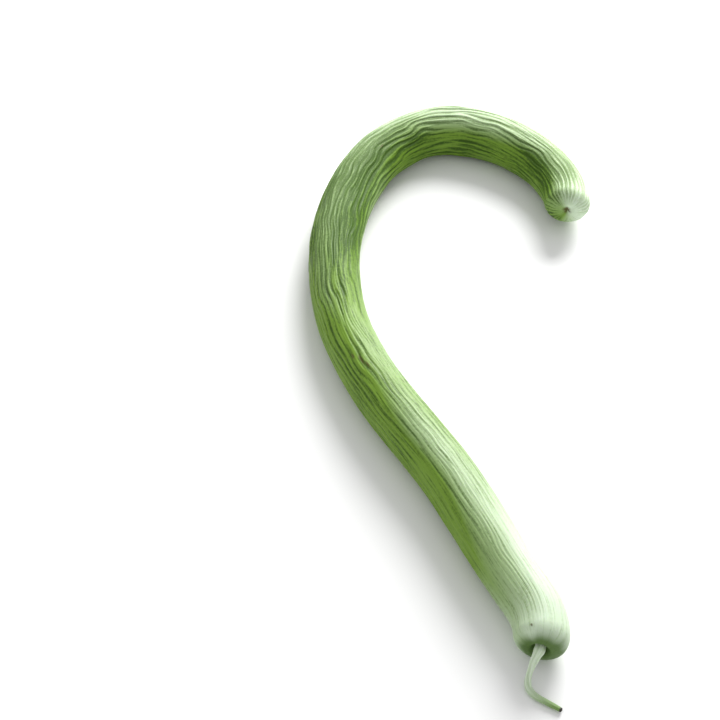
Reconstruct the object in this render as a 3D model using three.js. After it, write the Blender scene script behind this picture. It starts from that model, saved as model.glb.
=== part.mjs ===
// An Armenian cucumber, as picked: one long fruit, hooked at its blossom end, and the cut stem it hung by.
// Millimetres, +Z up. It lies on the plane z = 0, with the origin under the middle of the whole object.
// The fruit runs from its stem end, on the -Y side, away along +Y, and hooks round to the right (+X).

import * as THREE from 'three';

// ---- the fruit's spine: a chain of arcs, each tangent to the one before ----
// Headings are in degrees, measured from +Y and positive to the left.
const FIRST_HEADING = -18;
const BENDS = [
  // [length of the arc, how far it turns to the left]
  [50, 47],
  [60, -5],
  [60, 0.5],
  [60, 7.5],
  [70, -3],
  [80, -9.5],
  [90, -16],
  [80, -14],
  [80, -15],
  [70, -28.5],
  [70, -52],
  [70, -28.5],
  [110, -56],
];

// ---- the fruit's girth: [distance along the spine, radius there] ----
const GIRTH = [
  [0, 23.4],
  [60, 24.2],
  [130, 25.3],
  [240, 25.6],
  [400, 24.1],
  [560, 25.5],
  [640, 26.1],
  [720, 25.2],
  [800, 25.2],
  [890, 24],
  [950, 22.8],
];

// ---- the fruit's two ends ----
const SHOULDER_LENGTH = 18;
const SHOULDER_BLUNTNESS = 2.6;
const STEM_CAVITY = { depth: 6.5, floorRadius: 4.7, rimRadius: 12 };
const BLOSSOM_SCAR = { depth: 3, floorRadius: 0, rimRadius: 9 };

// ---- how it rests ----
const RESTING_FLAT_DEPTH = 0.6; // how far the soft underside is pressed flat
const TIP_CURL_LENGTH = 88; // the blossom end curls up off the surface over this length
const TIP_CURL_RISE = 12.4;

// ---- the stem: its route once it is out of the cavity, from the middle of the stem end ----
const STEM_ROUTE = [
  // [right, away, height above the surface]
  [-2.8, -3.8, 21],
  [-6.4, -9, 15],
  [-8.8, -14.3, 8.5],
  [-9.4, -18.8, 4.8],
  [-8.2, -24, 3.4],
  [-3.7, -29.6, 2.9],
  [4.1, -34.7, 2.7],
  [11, -38.9, 2.5],
  [16.8, -42.8, 2.4],
];
// [share of its length, radius there]: wide where it joins the fruit, a little swollen at the bend
const STEM_RADIUS = [
  [0, 4],
  [0.12, 3.5],
  [0.35, 2.6],
  [0.6, 2.9],
  [0.8, 2.5],
  [1, 2.1],
];
const STEM_GAP = 0.3; // between the stem's base and the floor of the cavity

// ---- how finely the two skins are divided ----
const FRUIT_SIDES = 24;
const FRUIT_STEP = 11;
const END_RINGS = 8;
const STEM_SIDES = 12;
const STEM_STEPS = 30;

const { degToRad, lerp, smoothstep } = THREE.MathUtils;
const FRUIT_LENGTH = BENDS.reduce((total, [length]) => total + length, 0);

// The value at a place in a list of [place, value] knots, eased from each knot to the next.
function easedBetween(knots, place) {
  const next = Math.max(1, knots.findIndex(([knot]) => knot >= place));
  const [before, low] = knots[next - 1];
  const [after, high] = knots[next];
  return lerp(low, high, smoothstep(place, before, after));
}

// Where the spine has got to after a distance, and its heading there in radians.
function alongSpine(distance) {
  let heading = degToRad(FIRST_HEADING);
  let x = 0;
  let y = 0;
  let left = distance;
  for (const [length, turn] of BENDS) {
    const travelled = Math.min(left, length);
    const curvature = degToRad(turn) / length;
    const reached = heading + curvature * travelled;
    x += (Math.cos(reached) - Math.cos(heading)) / curvature;
    y += (Math.sin(reached) - Math.sin(heading)) / curvature;
    heading = reached;
    left -= travelled;
    if (left <= 0) {
      break;
    }
  }
  return { x, y, heading };
}

// The spine's height: the girth less the resting flat, and the blossom end's upward curl, a parabola.
function spineHeight(distance) {
  const curl = Math.max(0, distance - (FRUIT_LENGTH - TIP_CURL_LENGTH)) / TIP_CURL_LENGTH;
  const nearest = Math.min(Math.max(distance, SHOULDER_LENGTH), FRUIT_LENGTH - SHOULDER_LENGTH);
  return easedBetween(GIRTH, nearest) - RESTING_FLAT_DEPTH + TIP_CURL_RISE * curl * curl;
}

function spinePoint(distance) {
  const { x, y } = alongSpine(distance);
  return new THREE.Vector3(x, y, spineHeight(distance));
}

// How deep an end face lies behind its end plane, at a share of the full radius:
// a superellipse shoulder, and a hollow round the middle.
function endDepth(share, radius, hollow) {
  const rounding = 1 - (1 - share ** SHOULDER_BLUNTNESS) ** (1 / SHOULDER_BLUNTNESS);
  const filled = smoothstep(share * radius, hollow.floorRadius, hollow.rimRadius);
  return SHOULDER_LENGTH * rounding + hollow.depth * (1 - filled);
}

// One closed skin over a row of rings, drawn in to a single point at each end.
function closedSkin(rings, firstPoint, lastPoint) {
  const sides = rings[0].length;
  const corners = [firstPoint, ...rings.flat(), lastPoint];
  const corner = (ring, side) => 1 + ring * sides + (side % sides);
  const lastRing = rings.length - 1;
  const faces = [];
  for (let side = 0; side < sides; side += 1) {
    faces.push(0, corner(0, side), corner(0, side + 1));
    for (let ring = 0; ring < lastRing; ring += 1) {
      faces.push(corner(ring, side), corner(ring + 1, side + 1), corner(ring, side + 1));
      faces.push(corner(ring, side), corner(ring + 1, side), corner(ring + 1, side + 1));
    }
    faces.push(corners.length - 1, corner(lastRing, side + 1), corner(lastRing, side));
  }
  const geometry = new THREE.BufferGeometry().setFromPoints(corners);
  geometry.setIndex(faces);
  geometry.computeVertexNormals();
  return geometry;
}

// The fruit: round rings square to the spine, with everything below the resting surface pressed flat.
function fruitGeometry() {
  const ring = (distance, radius) => {
    const { x, y, heading } = alongSpine(distance);
    const height = spineHeight(distance);
    return Array.from({ length: FRUIT_SIDES }, (_, side) => {
      const angle = ((side + 0.5) / FRUIT_SIDES) * 2 * Math.PI;
      const right = radius * Math.cos(angle);
      return new THREE.Vector3(
        x + right * Math.cos(heading),
        y + right * Math.sin(heading),
        Math.max(0, height + radius * Math.sin(angle)),
      );
    });
  };
  const stemRadius = easedBetween(GIRTH, SHOULDER_LENGTH);
  const blossomRadius = easedBetween(GIRTH, FRUIT_LENGTH - SHOULDER_LENGTH);
  const stemEnd = [];
  const blossomEnd = [];
  for (let step = 1; step < END_RINGS; step += 1) {
    const share = Math.sin((step / END_RINGS) * (Math.PI / 2));
    const stemDepth = endDepth(share, stemRadius, STEM_CAVITY);
    const blossomDepth = endDepth(share, blossomRadius, BLOSSOM_SCAR);
    stemEnd.push(ring(stemDepth, share * stemRadius));
    blossomEnd.unshift(ring(FRUIT_LENGTH - blossomDepth, share * blossomRadius));
  }
  const body = [];
  const bodyLength = FRUIT_LENGTH - 2 * SHOULDER_LENGTH;
  const bodySteps = Math.round(bodyLength / FRUIT_STEP);
  for (let step = 0; step <= bodySteps; step += 1) {
    const distance = SHOULDER_LENGTH + (bodyLength * step) / bodySteps;
    body.push(ring(distance, easedBetween(GIRTH, distance)));
  }
  return closedSkin(
    [...stemEnd, ...body, ...blossomEnd],
    spinePoint(STEM_CAVITY.depth),
    spinePoint(FRUIT_LENGTH - BLOSSOM_SCAR.depth),
  );
}

// The stem: round rings square to a smooth curve through its route, with flat cut ends.
// Its base stands back from the floor of the cavity by the gap.
function stemGeometry() {
  const base = spinePoint(STEM_CAVITY.depth - STEM_GAP);
  const neck = spinePoint(STEM_CAVITY.depth / 3);
  const route = STEM_ROUTE.map((point) => new THREE.Vector3(...point));
  const curve = new THREE.CatmullRomCurve3([base, neck, ...route]);
  const up = new THREE.Vector3(0, 0, 1);
  const rings = [];
  for (let step = 0; step <= STEM_STEPS; step += 1) {
    const share = step / STEM_STEPS;
    const centre = curve.getPointAt(share);
    const along = curve.getTangentAt(share);
    const sideways = new THREE.Vector3().crossVectors(along, up).normalize();
    const upwards = new THREE.Vector3().crossVectors(sideways, along);
    const radius = easedBetween(STEM_RADIUS, share);
    rings.push(Array.from({ length: STEM_SIDES }, (_, side) => {
      const angle = (side / STEM_SIDES) * 2 * Math.PI;
      return centre.clone()
        .addScaledVector(sideways, radius * Math.cos(angle))
        .addScaledVector(upwards, radius * Math.sin(angle));
    }));
  }
  return closedSkin(rings, curve.getPointAt(0), curve.getPointAt(1));
}

const fruit = new THREE.Mesh(
  fruitGeometry(),
  new THREE.MeshStandardMaterial({ color: 0x9bbd6b, roughness: 0.5, metalness: 0 }),
);
fruit.name = 'fruit';

const stem = new THREE.Mesh(
  stemGeometry(),
  new THREE.MeshStandardMaterial({ color: 0x9cc084, roughness: 0.6, metalness: 0 }),
);
stem.name = 'stem';

const cucumber = new THREE.Group();
cucumber.add(fruit, stem);

// The origin goes under the middle of the object's box.
const middle = new THREE.Box3().setFromObject(cucumber, true).getCenter(new THREE.Vector3());
cucumber.position.set(-middle.x, -middle.y, 0);

export default cucumber;
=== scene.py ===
"""The looks of an Armenian cucumber: a long ribbed fruit with a hooked blossom end, and its cut stem.

Metres, +Z up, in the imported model's frame. It is laid out as a Blender add-on and run as a script.
"""

import bpy
import numpy as np
from bpy.props import FloatProperty, FloatVectorProperty, IntProperty, PointerProperty
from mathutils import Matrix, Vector


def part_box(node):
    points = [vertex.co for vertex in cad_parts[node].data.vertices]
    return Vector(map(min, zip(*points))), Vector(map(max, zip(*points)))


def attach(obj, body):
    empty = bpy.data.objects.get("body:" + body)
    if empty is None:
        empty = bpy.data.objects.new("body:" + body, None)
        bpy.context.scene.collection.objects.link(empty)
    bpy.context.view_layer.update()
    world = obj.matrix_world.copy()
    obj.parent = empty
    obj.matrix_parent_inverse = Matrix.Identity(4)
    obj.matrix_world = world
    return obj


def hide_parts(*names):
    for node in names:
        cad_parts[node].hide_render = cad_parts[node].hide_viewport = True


bl_info = {
    "name": "Armenian cucumber",
    "version": (1, 0, 0),
    "blender": (4, 5, 0),
    "location": "3D View > Sidebar > Cucumber",
    "description": "Makes an Armenian cucumber with wavy ribs, and the studio it lies in",
    "category": "Add Mesh",
}

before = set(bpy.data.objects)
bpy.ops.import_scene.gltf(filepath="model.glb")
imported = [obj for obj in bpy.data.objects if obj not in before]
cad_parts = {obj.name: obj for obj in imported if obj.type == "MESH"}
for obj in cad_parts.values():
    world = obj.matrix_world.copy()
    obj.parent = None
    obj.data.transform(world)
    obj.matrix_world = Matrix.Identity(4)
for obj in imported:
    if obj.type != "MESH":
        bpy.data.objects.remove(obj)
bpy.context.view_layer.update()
FRUIT_BOX = np.array([list(corner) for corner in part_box("fruit")])
MM = 0.001

# ---- the fruit's spine: a chain of arcs, each tangent to the one before ----
FIRST_HEADING = -18.0  # degrees from +Y, positive to the left
BENDS = [  # (length of the arc in mm, how far it turns to the left in degrees)
    (50, 47), (60, -5), (60, 0.5), (60, 7.5), (70, -3), (80, -9.5), (90, -16),
    (80, -14), (80, -15), (70, -28.5), (70, -52), (70, -28.5), (110, -56),
]
FRUIT_LENGTH = MM * sum(length for length, _ in BENDS)
BEND_EASE = 24 * MM  # the length over which one arc runs into the next

# ---- the fruit's girth: (distance along the spine, radius there), mm ----
GIRTH = [(0, 23.4), (60, 24.2), (130, 25.3), (240, 25.6), (400, 24.1), (560, 25.5), (640, 26.1),
         (720, 25.2), (800, 25.2), (890, 24), (950, 22.8)]

# ---- its two ends, and how it rests ----
SHOULDER_LENGTH = 18 * MM
STEM_END_BLUNTNESS = 2.6
BLOSSOM_END_BLUNTNESS = 2.1
STEM_CAVITY = (6.5 * MM, 4.7 * MM, 9.6 * MM)  # depth, radius of its floor, radius of its rim
BLOSSOM_SCAR = (3 * MM, 0.0, 9 * MM)  # the same three sizes
RESTING_FLAT_DEPTH = 0.6 * MM
TIP_CURL_LENGTH = 88 * MM
TIP_CURL_RISE = 12.4 * MM

# ---- the stem: its route once it is out of the cavity, from the middle of the stem end, mm ----
STEM_ROUTE = [(-2.8, -3.8, 21), (-6.4, -9, 15), (-8.8, -14.3, 8.5), (-9.4, -18.8, 4.8), (-8.2, -24, 3.4),
              (-3.7, -29.6, 2.9), (4.1, -34.7, 2.7), (11, -38.9, 2.5), (16.8, -42.8, 2.4)]
STEM_RADIUS = [  # (share of the route, mm)
    (0, 4.5), (0.08, 4.4), (0.18, 3.5), (0.36, 2.5), (0.55, 2.9), (0.8, 2.4), (0.95, 2.0), (1, 1.8),
]

# ---- how deep the relief is along the fruit: (distance, mm) ----
RIB_DEPTH = [(0, 0.05), (60, 0.1), (200, 0.26), (380, 0.42), (560, 0.75), (760, 0.8), (860, 0.6), (950, 0.35)]
WAVINESS = [(0, 0.15), (150, 0.45), (350, 0.7), (520, 1), (860, 1), (950, 0.8)]

# ---- where the rind's colour and the painted light and shade on it change along the fruit: (from, to), metres from the stem end ----
STEM_END_PALES = (-0.03, 0.2)
BLOSSOM_END_PALES = (0.87, 0.95)
# Painted light and shade on the rind: where the painted lit side turns up and over, and where it weakens and
# strengthens.
PAINTED_LIT_SIDE_TURNS_UP = (0.46, 0.68)
PAINTED_LIT_SIDE_TURNS_OVER = (0.8, 0.9)
PAINTED_LIGHT_WEAKENS = (0.2, 0.42)
PAINTED_LIGHT_STRENGTHENS = (0.6, 0.76)
FURROWS_BEGIN = (0.05, 0.3)
FURROWS_DEEPEN = (0.44, 0.56)
PAINTED_SHADE_BEND = ((0.4, 0.52), (0.62, 0.74))  # painted shade on the top at the bend: where it comes, and where it goes
# Painted shade on the top before the tip: where it comes, and where it goes.
PAINTED_SHADE_TIP = ((0.82, 0.88), (0.9, 0.94))
# Where the painted shade of the stem cavity and end face stops along the fruit.
PAINTED_CAVITY_SHADE_ENDS = (0.006, 0.02)
SCUFFS = [  # (distance along, angle round from the right-hand side, length, width)
    (0.338, 1.9, 0.006, 0.0012), (0.329, 1.8, 0.004, 0.001), (0.346, 2.1, 0.003, 0.0012),
    (0.011, 2.0, 0.0012, 0.001), (0.3, 0.9, 0.002, 0.0006), (0.65, 1.2, 0.003, 0.0007),
]
TYPICAL_RADIUS = 25 * MM
STEM_TYPICAL_RADIUS = 2.6 * MM
STEM_LENGTH = 60 * MM

# ---- the studio ----
FLOOR_HALF_WIDTH = 6.0
FLOOR_DROP = -0.1 * MM  # just clear of the underside
KEY_LAMP_SIZE = 1.7
KEY_LAMP_DIRECTION = (0.3, 0.8, 0.5)
KEY_LAMP_DISTANCE = 2.3
CAMERA_DEPRESSION = 47.0  # degrees below the horizon
CAMERA_AIM = (-90.8 * MM, 26.6 * MM, 0.0)

# ---- how finely the skins are divided ----
FRUIT_SIDES = 232
FRUIT_STATIONS = 400
END_STATIONS = 26
STEM_SIDES = 48
STEM_STATIONS = 220


# ------------------------------------------------------------------ shape functions

def eased(knots, place):
    """The value at each place in a list of (place, value) knots: between two knots it follows
    3t^2 - 2t^3 of the share t of the way from one to the next."""
    at, value = np.array(knots, float).T
    place = np.clip(place, at[0], at[-1])
    after = np.clip(np.searchsorted(at, place), 1, len(at) - 1)
    share = (place - at[after - 1]) / (at[after] - at[after - 1])
    share = share * share * (3 - 2 * share)
    return value[after - 1] + share * (value[after] - value[after - 1])


def smoothstep(low, high, value):
    """0 below low, 1 above high, and 3t^2 - 2t^3 between them."""
    share = np.clip((value - low) / (high - low), 0, 1)
    return share * share * (3 - 2 * share)


def spine(distance):
    """x, y and heading at each distance along the spine. The heading grows evenly along each arc,
    and is then averaged over a short window. The place is the running sum of its sine and cosine."""
    steps = np.linspace(-0.02, FRUIT_LENGTH + 0.02, 4001)
    ends = MM * np.cumsum([0] + [length for length, _ in BENDS])
    headings = np.cumsum([FIRST_HEADING] + [turn for _, turn in BENDS])
    window = BEND_EASE * np.linspace(-0.5, 0.5, 25)
    heading = np.radians(np.mean([np.interp(steps + shift, ends, headings) for shift in window], axis=0))
    stride = steps[1] - steps[0]
    x = -np.cumsum(np.sin(heading)) * stride
    y = np.cumsum(np.cos(heading)) * stride
    x -= np.interp(0, steps, x)
    y -= np.interp(0, steps, y)
    return [np.interp(distance, steps, track) for track in (x, y, heading)]


def spine_height(distance):
    """The girth less the resting flat, and a parabola where the blossom end curls up."""
    nearest = np.clip(distance, SHOULDER_LENGTH, FRUIT_LENGTH - SHOULDER_LENGTH)
    curl = np.maximum(0, distance - (FRUIT_LENGTH - TIP_CURL_LENGTH)) / TIP_CURL_LENGTH
    return MM * eased(GIRTH, nearest / MM) - RESTING_FLAT_DEPTH + TIP_CURL_RISE * curl**2


def end_depth(share, radius, hollow, bluntness):
    """How deep an end face lies at a share of the full radius: a superellipse, and a smooth hollow."""
    depth, floor_radius, rim_radius = hollow
    rounding = 1 - (1 - share**bluntness) ** (1 / bluntness)
    return SHOULDER_LENGTH * rounding + depth * (1 - smoothstep(floor_radius, rim_radius, share * radius))


def fruit_stations():
    """Distance along the spine and radius of each ring, from the stem end to the blossom end."""
    share = np.sin(np.linspace(0, np.pi / 2, END_STATIONS + 1))[1:-1]
    radii = [MM * eased(GIRTH, place / MM) for place in (SHOULDER_LENGTH, FRUIT_LENGTH - SHOULDER_LENGTH)]
    body = np.linspace(SHOULDER_LENGTH, FRUIT_LENGTH - SHOULDER_LENGTH, FRUIT_STATIONS - 2 * len(share))
    stem_end = end_depth(share, radii[0], STEM_CAVITY, STEM_END_BLUNTNESS)
    blossom_end = FRUIT_LENGTH - end_depth(share, radii[1], BLOSSOM_SCAR, BLOSSOM_END_BLUNTNESS)
    distance = np.concatenate([stem_end, body, blossom_end[::-1]])
    radius = np.concatenate([share * radii[0], MM * eased(GIRTH, body / MM), share[::-1] * radii[1]])
    return distance, radius


def band_noise(rng, shape, length, count, spread, wave):
    """White noise filtered to a band: a bell round a count of waves in the girth, and a bell round none
    along the fruit, as wide as one wave in the given length. Only waves of one hand are kept, so the
    answer is complex: its angle is the wave's phase. It is scaled to a mean size of one."""
    around = np.fft.fftfreq(shape[1], 1 / shape[1])
    along = np.fft.fftfreq(shape[0], length / shape[0])
    bell = np.exp(-0.5 * ((around - count) / spread) ** 2)[None] * np.exp(-0.5 * (along * wave) ** 2)[:, None]
    field = np.fft.ifft2(np.fft.fft2(rng.standard_normal(shape)) * bell)
    return field / np.abs(field).mean()


def uneven(rng, shape, length, count, wave):
    """Smooth noise between about -1 and 1: the real part of a low band."""
    return 0.6 * band_noise(rng, shape, length, 0, count, wave).real


def fruit_relief(rng, distance, angle, ribs, rib_depth, wrinkle_depth):
    """The height of the skin over the plain tube, and how deep in a furrow each point is, 0 to 1.

    Ribs: the phase of noise in a band round the rib count, calm near the stem and wavy in the hook,
    shifted sideways by slow noise. A rib is the root of 0.5 + 0.5 cos(phase), so its crown is round and
    its furrow narrow. Wrinkles: the same with about twice the count, at a depth of their own.
    Lumps: slow noise, and quicker noise where the ribs are wavy, drawn by a generator of its own."""
    shape = (len(distance), len(angle))
    length = FRUIT_LENGTH
    wavy = eased(WAVINESS, distance / MM)[:, None]
    calm = band_noise(rng, shape, length, ribs, 3.5, 0.34)
    lively = band_noise(rng, shape, length, ribs * 1.08, 5.5, 0.12)
    sway = uneven(rng, shape, length, 4, 0.045) * wavy * 0.07 + uneven(rng, shape, length, 2, 0.3) * 0.05
    mixed = calm * (1 - wavy) + lively * wavy
    phase = np.angle(mixed) + ribs * sway
    rounded = np.sqrt(0.5 + 0.5 * np.cos(phase) + 0.006)
    strength = 0.15 + 0.85 * np.clip(np.abs(mixed), 0, 1.5)
    strength *= 1 + 0.5 * np.clip(uneven(rng, shape, length, 5, 0.12), -1.6, 1.6)
    fine = band_noise(rng, shape, length, ribs * 2.1, 9, 0.1)
    fine_phase = np.angle(fine) + 2.5 * ribs * sway
    fine_rounded = np.sqrt(0.5 + 0.5 * np.cos(fine_phase) + 0.02)
    fine_strength = np.clip(np.abs(fine), 0, 2) * (0.35 + 0.65 * wavy)
    low = uneven(rng, shape, length, 2, 0.35)
    knobbly = wavy * uneven(np.random.default_rng(ribs), shape, length, 3, 0.09)
    lumps = (0.55 * low + 0.4 * knobbly) * MM
    depth = rib_depth * eased(RIB_DEPTH, distance / MM)[:, None]
    height = depth * strength * (rounded - 0.72)
    height = height + wrinkle_depth * fine_strength * (fine_rounded - 0.6) + lumps
    furrow = np.clip((1 - rounded) * strength * 1.25 + 0.3 * (1 - fine_rounded) * fine_strength, 0, 1)
    return height, furrow


def ring_points(distance, radius, angle):
    """Rings square to the spine: each point is the radius times (cosine to the right, sine up)."""
    x, y, heading = [track[:, None] for track in spine(distance)]
    right = radius * np.cos(angle)
    up = radius * np.sin(angle)
    return np.stack([x + right * np.cos(heading), y + right * np.sin(heading),
                     np.maximum(0, spine_height(distance)[:, None] + up)], axis=-1)


def spine_point(distance):
    """The point on the spine at one distance along it, at the spine's height there."""
    x, y, _ = spine(distance)
    return np.array([x, y, spine_height(distance)])


def smooth_path(points, count):
    """A Catmull-Rom curve through the points, at even steps along its length."""
    points = np.vstack([2 * points[0] - points[1], points, 2 * points[-1] - points[-2]])
    share = np.linspace(0, 1, 40, endpoint=False)[:, None]
    spans = []
    for a, b, c, d in zip(points, points[1:], points[2:], points[3:]):
        spans.append(0.5 * (2 * b + (c - a) * share + (2 * a - 5 * b + 4 * c - d) * share**2
                            + (3 * b - a - 3 * c + d) * share**3))
    path = np.vstack(spans + [points[-2:-1]])
    travelled = np.concatenate([[0], np.cumsum(np.linalg.norm(np.diff(path, axis=0), axis=1))])
    even = np.linspace(0, travelled[-1], count)
    return np.stack([np.interp(even, travelled, path[:, axis]) for axis in range(3)], axis=-1)


def closed_skin(name, rings, first, last, values, uv_size):
    """A closed mesh over a grid of rings, drawn in to one point at each end. Angles grow from the
    underside round by the right. values are per-point numbers, and the UV map runs from 0 round the
    girth and along the length to uv_size, in metres."""
    stations, sides = rings.shape[:2]
    points = np.vstack([first, rings.reshape(-1, 3), last])
    ring, side = np.meshgrid(np.arange(stations - 1), np.arange(sides), indexing="ij")
    here = 1 + ring * sides + side
    beside = 1 + ring * sides + (side + 1) % sides
    quads = np.stack([here, here + sides, beside + sides, beside], axis=-1).reshape(-1, 4)
    edge = np.arange(sides)
    after = (edge + 1) % sides
    final = 1 + (stations - 1) * sides
    start_fan = np.stack([np.zeros(sides, int), 1 + edge, 1 + after], axis=-1)
    end_fan = np.stack([np.full(sides, final + sides), final + after, final + edge], axis=-1)
    corners = np.concatenate([quads.ravel(), start_fan.ravel(), end_fan.ravel()])
    sizes = np.concatenate([np.full(len(quads), 4), np.full(2 * sides, 3)])
    mesh = bpy.data.meshes.new(name)
    mesh.vertices.add(len(points))
    mesh.vertices.foreach_set("co", points.ravel())
    mesh.loops.add(len(corners))
    mesh.loops.foreach_set("vertex_index", corners)
    mesh.polygons.add(len(sizes))
    mesh.polygons.foreach_set("loop_start", np.concatenate([[0], np.cumsum(sizes)[:-1]]))
    mesh.polygons.foreach_set("loop_total", sizes)
    mesh.update(calc_edges=True)
    mesh.validate()
    around = np.stack([side, side, side + 1, side + 1], axis=-1).reshape(-1, 4) / sides
    along = np.stack([ring, ring + 1, ring + 1, ring], axis=-1).reshape(-1, 4) / (stations - 1)
    fan = np.stack([edge + 0.5, edge, edge + 1], axis=-1) / sides
    end = np.stack([edge + 0.5, edge + 1, edge], axis=-1) / sides
    u = np.concatenate([around.ravel(), fan.ravel(), end.ravel()]) * uv_size[0]
    v = np.concatenate([along.ravel(), np.zeros(3 * sides), np.ones(3 * sides)]) * uv_size[1]
    mesh.uv_layers.new(name="skin").data.foreach_set("uv", np.stack([u, v], axis=-1).ravel())
    for key, grid in values.items():
        whole = np.concatenate([[grid[0].mean()], grid.ravel(), [grid[-1].mean()]])
        mesh.attributes.new(key, "FLOAT", "POINT").data.foreach_set("value", whole)
    mesh.shade_smooth()
    piece = bpy.data.objects.new(name, mesh)
    bpy.context.scene.collection.objects.link(piece)
    return piece


# ------------------------------------------------------------------ materials

class Nodes:
    """Short calls for building one material's node tree."""

    def __init__(self, name):
        self.material = bpy.data.materials.new(name)
        self.material.use_nodes = True
        self.tree = self.material.node_tree
        self.shader = self.tree.nodes["Principled BSDF"]

    def put(self, socket, value):
        """Link a socket to another node's output, or set it to a number, a colour or a vector."""
        if isinstance(value, bpy.types.NodeSocket):
            self.tree.links.new(value, socket)
        elif hasattr(value, "__len__"):
            socket.default_value = (*value, 1.0)[: len(socket.default_value)]
        else:
            socket.default_value = value

    def add(self, kind, inputs=(), **settings):
        """A new node, with its settings and inputs filled in."""
        made = self.tree.nodes.new(kind)
        for key, value in settings.items():
            setattr(made, key, value)
        for key, value in dict(inputs).items():
            self.put(made.inputs[key], value)
        return made

    def value(self, key):
        """A number kept at each point of the mesh."""
        return self.add("ShaderNodeAttribute", attribute_name=key).outputs["Fac"]

    def math(self, operation, a, b=0.0):
        """One sum, product or other operation on two numbers."""
        return self.add("ShaderNodeMath", {0: a, 1: b}, operation=operation).outputs[0]

    def mix(self, share, a, b):
        """A colour the given share of the way from a to b. The sockets 0, 6 and 7 are the share and the
        two colours, and output 2 is the mixed colour."""
        made = self.add("ShaderNodeMix", data_type="RGBA")
        self.put(made.inputs[0], share)
        self.put(made.inputs[6], a)
        self.put(made.inputs[7], b)
        return made.outputs[2]

    def ranged(self, value, low, high, to_low=0.0, to_high=1.0):
        """A number eased from to_low, at low and under, to to_high, at high and over."""
        made = self.add("ShaderNodeMapRange", {0: value, 1: low, 2: high, 3: to_low, 4: to_high},
                        interpolation_type="SMOOTHSTEP")
        return made.outputs[0]

    def skin_noise(self, around, along, detail=3.0):
        """Noise on the skin's own UV map, in features a metre round the girth and along the length."""
        uv = self.add("ShaderNodeUVMap", uv_map="skin").outputs[0]
        stretched = self.add("ShaderNodeMapping", {"Vector": uv, "Scale": (around, along, 1.0)})
        return self.add("ShaderNodeTexNoise", {"Vector": stretched.outputs[0], "Scale": 1.0,
                                               "Detail": detail, "Roughness": 0.6}).outputs["Fac"]

    def solid_noise(self, scale, detail=2.0):
        """Noise in the object's own space, in features a metre."""
        place = self.add("ShaderNodeTexCoord").outputs["Object"]
        noise = self.add("ShaderNodeTexNoise", {"Vector": place, "Scale": scale, "Detail": detail})
        return noise.outputs["Fac"]

    def bump(self, height, strength, distance, normal=None):
        """A normal bent by a height, on top of another normal if one is given."""
        made = self.add("ShaderNodeBump", {"Height": height, "Strength": strength, "Distance": distance})
        if normal is not None:
            self.put(made.inputs["Normal"], normal)
        return made.outputs[0]


def skin_material(look):
    """Waxy rind: pale ribs and darker furrows, bleached towards both ends, with fine lengthwise streaks,
    tiny pale dots, and brown cork at the scar and scuffs. Painted light and shade: a paler lit side and a
    darker shaded side, painted shade on the top of the bend and before the tip, and painted shade in the
    stem cavity and on the end face."""
    nodes = Nodes("cucumber_rind")
    # On the fruit the furrow value also carries painted shade on the top of the bend and before the tip.
    furrow = nodes.value("furrow")
    streaks = nodes.skin_noise(900, 26)
    broad = nodes.skin_noise(60, 9, 2.0)
    depth = nodes.math("ADD", furrow, nodes.ranged(streaks, 0.35, 0.68, -0.24, 0.28))
    depth = nodes.math("ADD", depth, nodes.ranged(broad, 0.3, 0.7, -0.12, 0.14))
    lines = nodes.skin_noise(520, 17, 2.0)
    depth = nodes.math("ADD", depth, nodes.ranged(lines, 0.5, 0.64, -0.06, 0.42))
    mottle = nodes.solid_noise(420.0, 3.0)
    depth = nodes.math("ADD", depth, nodes.ranged(mottle, 0.35, 0.65, -0.14, 0.14))
    # The pale value is partly the bleached ends and partly painted light and shade on one side.
    pale = nodes.value("pale")
    depth = nodes.math("MULTIPLY", nodes.ranged(depth, 0.0, 1.12), nodes.ranged(pale, 0.4, 1.0, 1.0, 0.55))
    ridge = nodes.mix(pale, look.ridge_colour, look.pale_and_lit_colour)
    groove = nodes.mix(pale, look.furrow_colour, look.pale_and_lit_furrow_colour)
    colour = nodes.mix(depth, ridge, groove)
    dots = nodes.add("ShaderNodeTexVoronoi", {
        "Vector": nodes.add("ShaderNodeTexCoord").outputs["Object"], "Scale": 520.0}, feature="F1")
    dot = nodes.ranged(dots.outputs["Distance"], 0.14, 0.36, 0.4, 0.0)
    colour = nodes.mix(dot, colour, ridge)
    # Painted shade: the stem cavity and end face drawn deep green.
    colour = nodes.mix(nodes.value("halo"), colour, look.cavity_shade_colour)
    colour = nodes.mix(nodes.value("cork"), colour, look.cork_colour)
    nodes.put(nodes.shader.inputs["Base Color"], colour)
    dull_furrows = nodes.math("MULTIPLY", furrow, 0.12)
    rough = nodes.math("ADD", nodes.ranged(streaks, 0.3, 0.7, 0.36, 0.5), dull_furrows)
    nodes.put(nodes.shader.inputs["Roughness"], rough)
    nodes.put(nodes.shader.inputs["Specular IOR Level"], 0.16)
    nodes.put(nodes.shader.inputs["Subsurface Weight"], 0.12)
    nodes.put(nodes.shader.inputs["Subsurface Radius"], (0.6, 1.0, 0.3))
    nodes.put(nodes.shader.inputs["Subsurface Scale"], 0.003)
    long_grain = nodes.bump(nodes.math("ADD", streaks, lines), 0.45, 0.0007)
    pores = nodes.bump(nodes.solid_noise(1400.0), 0.18, 0.0002, long_grain)
    nodes.put(nodes.shader.inputs["Normal"], pores)
    return nodes.material


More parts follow.
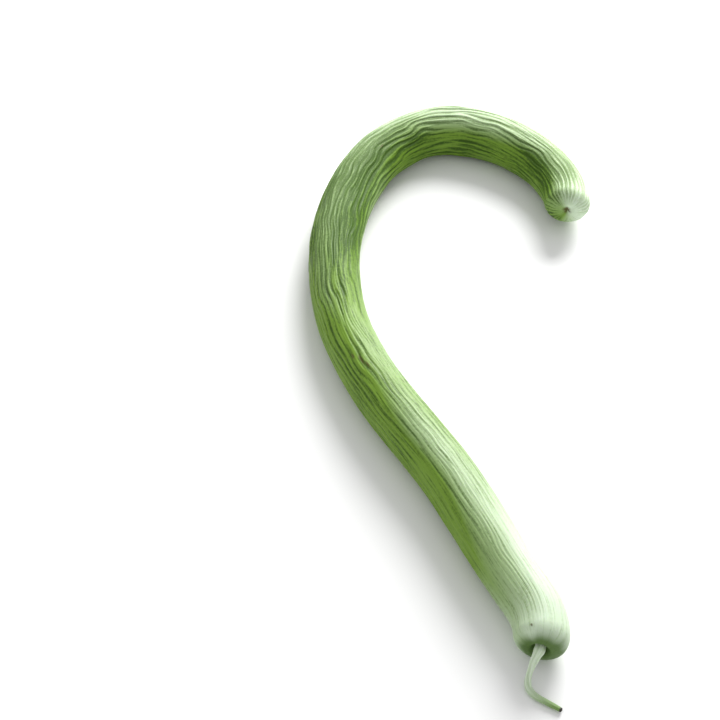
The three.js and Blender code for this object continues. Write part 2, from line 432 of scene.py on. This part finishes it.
def stem_material(look):
    """Fibrous green stalk: fine lengthwise fibres, greener towards the cut, which has dried brown."""
    nodes = Nodes("cucumber_stalk")
    fibres = nodes.skin_noise(2600, 60)
    groove = nodes.value("furrow")
    green = nodes.mix(nodes.ranged(nodes.value("share"), 0.45, 0.95), look.stem_colour, look.stem_dark_colour)
    green = nodes.mix(nodes.math("MULTIPLY", groove, 0.3), green, look.stem_dark_colour)
    green = nodes.mix(nodes.ranged(fibres, 0.4, 0.75, 0.0, 0.45), green, look.stem_dark_colour)
    dried = nodes.math("ADD", nodes.value("dried"), nodes.ranged(fibres, 0.3, 0.7, -0.12, 0.12))
    colour = nodes.mix(nodes.ranged(dried, 0.2, 0.8), green, look.cut_colour)
    nodes.put(nodes.shader.inputs["Base Color"], colour)
    nodes.put(nodes.shader.inputs["Roughness"], nodes.ranged(fibres, 0.3, 0.7, 0.42, 0.6))
    nodes.put(nodes.shader.inputs["Subsurface Weight"], 0.08)
    nodes.put(nodes.shader.inputs["Subsurface Radius"], (0.6, 1.0, 0.3))
    nodes.put(nodes.shader.inputs["Subsurface Scale"], 0.0015)
    nodes.put(nodes.shader.inputs["Normal"], nodes.bump(fibres, 0.4, 0.0003))
    return nodes.material


# ------------------------------------------------------------------ what a user would change

def colour_property(name, description, default):
    """A colour that can be picked in the panel."""
    return FloatVectorProperty(name=name, description=description, subtype="COLOR", size=3,
                               min=0.0, max=1.0, default=default)


class CucumberLook(bpy.types.PropertyGroup):
    """Sizes and colours of the fruit and its stem."""

    ribs: IntProperty(name="Ribs", description="Ribs counted round the girth", default=26,
                      min=8, max=40)
    rib_depth: FloatProperty(name="Rib depth", description="Depth of the deepest furrows", default=1.4 * MM,
                             min=0.0, max=2 * MM, subtype="DISTANCE", unit="LENGTH", precision=5)
    wrinkle_depth: FloatProperty(name="Wrinkle depth", description="Depth of the wrinkles between ribs",
                                 default=0.55 * MM, min=0.0, max=MM, subtype="DISTANCE", unit="LENGTH",
                                 precision=5)
    seed: IntProperty(name="Seed", description="Which growth of ribs is drawn", default=11, min=0)
    ridge_colour: colour_property("Rib", "Colour of the ribs at mid length", (0.17, 0.3, 0.032))
    furrow_colour: colour_property("Furrow", "Colour of the furrows at mid length", (0.046, 0.102, 0.008))
    # The pale colours are both the bleached ends and the painted lit side.
    pale_and_lit_colour: colour_property("Pale rib", "Colour of the ribs at the bleached ends", (0.59, 0.71, 0.53))
    pale_and_lit_furrow_colour: colour_property("Pale furrow", "Colour of the furrows at the ends",
                                        (0.25, 0.36, 0.15))
    # Painted shade colour for the stem cavity and end face.
    cavity_shade_colour: colour_property("Cavity", "Colour round the stem", (0.07, 0.14, 0.02))
    cork_colour: colour_property("Cork", "Colour of scuffs and of the blossom scar", (0.085, 0.075, 0.018))
    stem_colour: colour_property("Stem", "Colour of the stem near the fruit", (0.72, 0.83, 0.66))
    stem_dark_colour: colour_property("Stem end", "Colour of the stem near its cut", (0.17, 0.3, 0.07))
    cut_colour: colour_property("Cut", "Colour of the dried cut", (0.022, 0.018, 0.01))


class StudioLook(bpy.types.PropertyGroup):
    """The floor, the light and the camera."""

    floor_colour: colour_property("Floor", "Colour of the floor", (0.9, 0.9, 0.9))
    key_power: FloatProperty(name="Key light", description="Power of the large soft lamp", default=101.0,
                             min=0.0, subtype="POWER", unit="POWER")
    sky_strength: FloatProperty(name="Sky", description="Strength of the white surround", default=0.68,
                                min=0.0)
    lens: FloatProperty(name="Lens", description="Focal length of the camera in mm", default=90.0, min=1.0)
    camera_distance: FloatProperty(name="Camera distance", description="From the camera to where it aims",
                                   default=1.71, min=0.1, subtype="DISTANCE", unit="LENGTH")


# ------------------------------------------------------------------ pieces

def placed(points):
    """Points measured from the middle of the stem end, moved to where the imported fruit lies."""
    distance, radius = fruit_stations()
    angle = np.linspace(0, 2 * np.pi, 97)[None]
    tube = ring_points(distance, radius[:, None], angle).reshape(-1, 3)
    shift = FRUIT_BOX.mean(axis=0) - (tube.min(axis=0) + tube.max(axis=0)) / 2
    return points + np.array([shift[0], shift[1], 0.0])


def spot(distance, angle, at, turn, length, width, softness=0.35):
    """1 inside an ellipse on the skin, at a distance along and an angle round it, and 0 outside."""
    turned = np.angle(np.exp(1j * (angle - turn)))
    away = np.hypot((distance - at) / length, turned * TYPICAL_RADIUS / width)
    return 1 - smoothstep(1 - softness, 1 + softness, away)


class MakeFruit(bpy.types.Operator):
    """Make the ribbed skin of the whole fruit in place of its plain solid"""

    bl_idname = "cucumber.make_fruit"
    bl_label = "Fruit"

    def execute(self, context):
        look = context.scene.cucumber
        rng = np.random.default_rng(look.seed)
        distance, radius = fruit_stations()
        angle = np.linspace(0, 2 * np.pi, FRUIT_SIDES, endpoint=False) - np.pi / 2
        height, furrow = fruit_relief(rng, distance, angle, look.ribs, look.rib_depth, look.wrinkle_depth)
        full = MM * eased(GIRTH, distance / MM)
        share = (radius / full)[:, None]
        rings = ring_points(distance, radius[:, None] + height * smoothstep(0.05, 0.6, share), angle[None])
        column = distance[:, None]
        shape = height.shape
        # Paleness: the bleached ends, and painted light and shade on one side.
        pale = self.paleness_and_painted_light(rng, shape, column, angle[None])
        # The furrow value also carries painted shade on the top of the bend and before the tip.
        furrow = self.furrow_green_and_painted_shade(furrow, share, column, angle[None], pale)
        # Painted shade of the stem cavity and end face.
        halo = self.painted_cavity_shade_ring(rng, shape, share, column, angle[None])
        cork = self.cork(rng, shape, share, column, angle[None])
        # The pale values carry painted light and shade as well as the bleached ends, and the cavity ring is
        # painted shade.
        values = {"furrow": furrow * np.ones(shape), "pale": pale, "halo": 0.95 * halo, "cork": cork}
        first = spine_point(STEM_CAVITY[0])
        last = spine_point(FRUIT_LENGTH - BLOSSOM_SCAR[0])
        size = (2 * np.pi * TYPICAL_RADIUS, FRUIT_LENGTH)
        piece = closed_skin("fruit_skin", placed(rings), placed(first), placed(last), values, size)
        piece.data.materials.append(skin_material(look))
        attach(piece, "root")
        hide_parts("fruit")
        return {"FINISHED"}

    @staticmethod
    def paleness_and_painted_light(rng, shape, column, angle):
        """How pale each point is, 0 to 1: bleached towards both ends, which is the rind's own colour, and
        painted light and shade: paler on the painted lit side and darker on the other, by the cosine of the
        angle between them, with slow noise. The painted lit side turns from the right at the stem to the
        outer top in the hook."""
        ends = smoothstep(*STEM_END_PALES, column) * (1 - 0.45 * smoothstep(*BLOSSOM_END_PALES, column))
        painted_lit_side = 0.5 + 1.75 * smoothstep(*PAINTED_LIT_SIDE_TURNS_UP, column)
        painted_lit_side = painted_lit_side + 0.6 * smoothstep(*PAINTED_LIT_SIDE_TURNS_OVER, column)
        painted_light_and_shade = 0.5 - 0.38 * smoothstep(*PAINTED_LIGHT_WEAKENS, column) + 0.62 * smoothstep(*PAINTED_LIGHT_STRENGTHENS, column)
        # Painted light and shade: paler on one side of the girth, darker on the other.
        painted_light_and_shade = painted_light_and_shade * np.clip(np.cos(angle - painted_lit_side), -0.6, 1)
        return np.clip(1 - ends + painted_light_and_shade + 0.17 * uneven(rng, shape, FRUIT_LENGTH, 3, 0.2), 0, 1)

    @staticmethod
    def furrow_green_and_painted_shade(furrow, share, column, angle, pale):
        """How strongly the furrow colour shows: the furrows themselves, faint by the stem, fading out over
        the end faces, and painted shade: a deep green on the upper side at the bend and before the tip."""
        strong = 0.25 + 0.4 * smoothstep(*FURROWS_BEGIN, column) + 0.35 * smoothstep(*FURROWS_DEEPEN, column)
        furrow = furrow * strong * smoothstep(0.1, 1.0, share)
        # Painted shade: the top of the bend and of the part before the tip is drawn deep green.
        deep = smoothstep(*PAINTED_SHADE_BEND[0], column) * (1 - smoothstep(*PAINTED_SHADE_BEND[1], column))
        deep = deep + smoothstep(*PAINTED_SHADE_TIP[0], column) * (1 - smoothstep(*PAINTED_SHADE_TIP[1], column))
        return furrow + 0.8 * deep * (0.1 + 0.9 * np.clip(np.sin(angle), 0, 1)) * (1 - pale)

    @staticmethod
    def painted_cavity_shade_ring(rng, shape, share, column, angle):
        """Painted shade on the stem end: a deep green ring for the shaded cavity and end face, 1 at its
        middle, and 0 past an uneven rim that reaches further out on one side."""
        rim = share - 0.14 * np.cos(angle + 0.6) + 0.06 * uneven(rng, shape, 0.3, 6, 0.3)
        return (1 - smoothstep(0.6, 1.02, rim)) * (1 - smoothstep(*PAINTED_CAVITY_SHADE_ENDS, column))

    @staticmethod
    def cork(rng, shape, share, column, angle):
        """Brown cork: an uneven disk at the blossom scar, and the small scuffs."""
        blossom_side = column >= FRUIT_LENGTH / 2
        scar = 1 - smoothstep(0.06, 0.24, share + 0.05 * uneven(rng, shape, 0.3, 4, 0.01))
        cork = np.where(blossom_side, scar, 0)
        for at, turn, length, width in SCUFFS:
            cork = np.maximum(cork, 0.85 * spot(column, angle, at, turn, length, width))
        return cork


class MakeStem(bpy.types.Operator):
    """Make the stalk, which widens into the fruit and ends in a dried cut, in place of its plain solid"""

    bl_idname = "cucumber.make_stem"
    bl_label = "Stem"

    def execute(self, context):
        look = context.scene.cucumber
        rng = np.random.default_rng(look.seed + 1)
        route = MM * np.array(STEM_ROUTE, float)
        inside = [spine_point(STEM_CAVITY[0] + 0.2 * MM), spine_point(STEM_CAVITY[0] / 3)]
        path = smooth_path(np.vstack([inside, route]), STEM_STATIONS)
        share = np.linspace(0, 1, STEM_STATIONS)
        angle = np.linspace(0, 2 * np.pi, STEM_SIDES, endpoint=False)[None]
        rings, furrow = self.rings(path, share, angle, rng)
        dried = smoothstep(0.955, 0.99, share)[:, None] * np.ones_like(furrow)
        values = {"furrow": furrow, "share": share[:, None] * np.ones_like(furrow), "dried": dried}
        size = (2 * np.pi * STEM_TYPICAL_RADIUS, STEM_LENGTH)
        piece = closed_skin("stem_stalk", placed(rings), placed(path[0]), placed(path[-1]), values, size)
        piece.data.materials.append(stem_material(look))
        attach(piece, "root")
        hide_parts("stem")
        return {"FINISHED"}

    @staticmethod
    def rings(path, share, angle, rng):
        """Rings square to the path. Five soft edges run along the stalk, turning slowly, and it is
        knobbly by slow noise: radius = stem radius x (1 + 0.05 cos 5a + noise). The last rings close
        over the cut in a shallow dome."""
        along = np.gradient(path, axis=0)
        along /= np.linalg.norm(along, axis=1)[:, None]
        sideways = np.cross([0, 0, 1.0], along)
        sideways /= np.linalg.norm(sideways, axis=1)[:, None]
        upwards = np.cross(along, sideways)
        phase = 5 * angle + 2.2 * share[:, None]
        edges = np.cos(phase)
        shape = (len(share), angle.size)
        knobs = uneven(rng, shape, STEM_LENGTH, 3, 0.012)
        fibre = band_noise(rng, shape, STEM_LENGTH, 15, 3, 0.05).real
        close = np.sqrt(np.clip(1 - smoothstep(0.985, 1.0, share) ** 2, 0.02, 1))[:, None]
        radius = MM * eased(STEM_RADIUS, share)[:, None] * (1 + 0.05 * edges + 0.04 * knobs + 0.02 * fibre)
        radius = radius * close
        rings = (path[:, None] + radius[..., None] * (np.cos(angle)[..., None] * sideways[:, None]
                                                      + np.sin(angle)[..., None] * upwards[:, None]))
        rings[..., 2] = np.maximum(rings[..., 2], 0.05 * MM)
        furrow = np.clip(0.5 - 0.5 * edges + 0.15 * fibre, 0, 1)
        return rings, furrow


class MakeStudio(bpy.types.Operator):
    """Make the pale floor, the soft light and the camera"""

    bl_idname = "cucumber.make_studio"
    bl_label = "Studio"

    def execute(self, context):
        look = context.scene.cucumber_studio
        scene = context.scene
        self.floor(look)
        self.lamps(scene, look)
        self.camera(scene, look)
        scene.view_settings.view_transform = "Standard"
        return {"FINISHED"}

    @staticmethod
    def floor(look):
        """A wide matt floor, just under the fruit."""
        half = FLOOR_HALF_WIDTH
        drop = FLOOR_DROP
        mesh = bpy.data.meshes.new("floor")
        corners = [(-half, -half, drop), (half, -half, drop), (half, half, drop), (-half, half, drop)]
        mesh.from_pydata(corners, [], [(0, 1, 2, 3)])
        nodes = Nodes("studio_floor")
        nodes.put(nodes.shader.inputs["Base Color"], look.floor_colour)
        nodes.put(nodes.shader.inputs["Roughness"], 0.85)
        nodes.put(nodes.shader.inputs["Specular IOR Level"], 0.15)
        mesh.materials.append(nodes.material)
        floor = bpy.data.objects.new("floor", mesh)
        bpy.context.scene.collection.objects.link(floor)

    @staticmethod
    def lamps(scene, look):
        """A large lamp to the right, behind and above, and an even white surround."""
        world = bpy.data.worlds.new("studio_surround")
        world.use_nodes = True
        background = world.node_tree.nodes["Background"]
        background.inputs["Color"].default_value = (1.0, 1.0, 1.0, 1.0)
        background.inputs["Strength"].default_value = look.sky_strength
        scene.world = world
        light = bpy.data.lights.new("key_lamp", "AREA")
        light.shape = "DISK"
        light.size = KEY_LAMP_SIZE
        light.energy = look.key_power
        lamp = bpy.data.objects.new("key_lamp", light)
        towards = Vector(KEY_LAMP_DIRECTION).normalized()
        lamp.location = KEY_LAMP_DISTANCE * towards
        lamp.rotation_euler = towards.to_track_quat("Z", "Y").to_euler()
        scene.collection.objects.link(lamp)

    @staticmethod
    def camera(scene, look):
        """It looks along +Y and down, at a point on the floor beside the middle of the fruit."""
        depression = np.radians(CAMERA_DEPRESSION)
        aim = Vector(CAMERA_AIM)
        data = bpy.data.cameras.new("camera")
        data.lens = look.lens
        data.clip_end = 50.0
        camera = bpy.data.objects.new("camera", data)
        camera.location = aim + look.camera_distance * Vector((0.0, -np.cos(depression), np.sin(depression)))
        camera.rotation_euler = (np.pi / 2 - depression, 0.0, 0.0)
        scene.collection.objects.link(camera)
        scene.camera = camera


class CucumberPanel(bpy.types.Panel):
    """Lists the pieces, their sizes and their colours"""

    bl_idname = "VIEW3D_PT_cucumber"
    bl_label = "Armenian cucumber"
    bl_space_type = "VIEW_3D"
    bl_region_type = "UI"
    bl_category = "Cucumber"

    def draw(self, context):
        for group in (context.scene.cucumber, context.scene.cucumber_studio):
            for key in group.bl_rna.properties.keys():
                if key not in ("rna_type", "name"):
                    self.layout.prop(group, key)
        for operator in OPERATORS:
            self.layout.operator(operator.bl_idname)


OPERATORS = (MakeStudio, MakeFruit, MakeStem)
CLASSES = (CucumberLook, StudioLook, *OPERATORS, CucumberPanel)


def register():
    """Register the classes and hang the two groups of settings on the scene."""
    for cls in CLASSES:
        bpy.utils.register_class(cls)
    bpy.types.Scene.cucumber = PointerProperty(type=CucumberLook)
    bpy.types.Scene.cucumber_studio = PointerProperty(type=StudioLook)


def unregister():
    """Undo register."""
    del bpy.types.Scene.cucumber_studio
    del bpy.types.Scene.cucumber
    for cls in reversed(CLASSES):
        bpy.utils.unregister_class(cls)


def main():
    """Make every piece and the stage."""
    register()
    bpy.ops.cucumber.make_studio()
    bpy.ops.cucumber.make_fruit()
    bpy.ops.cucumber.make_stem()


if __name__ == "__main__":
    main()
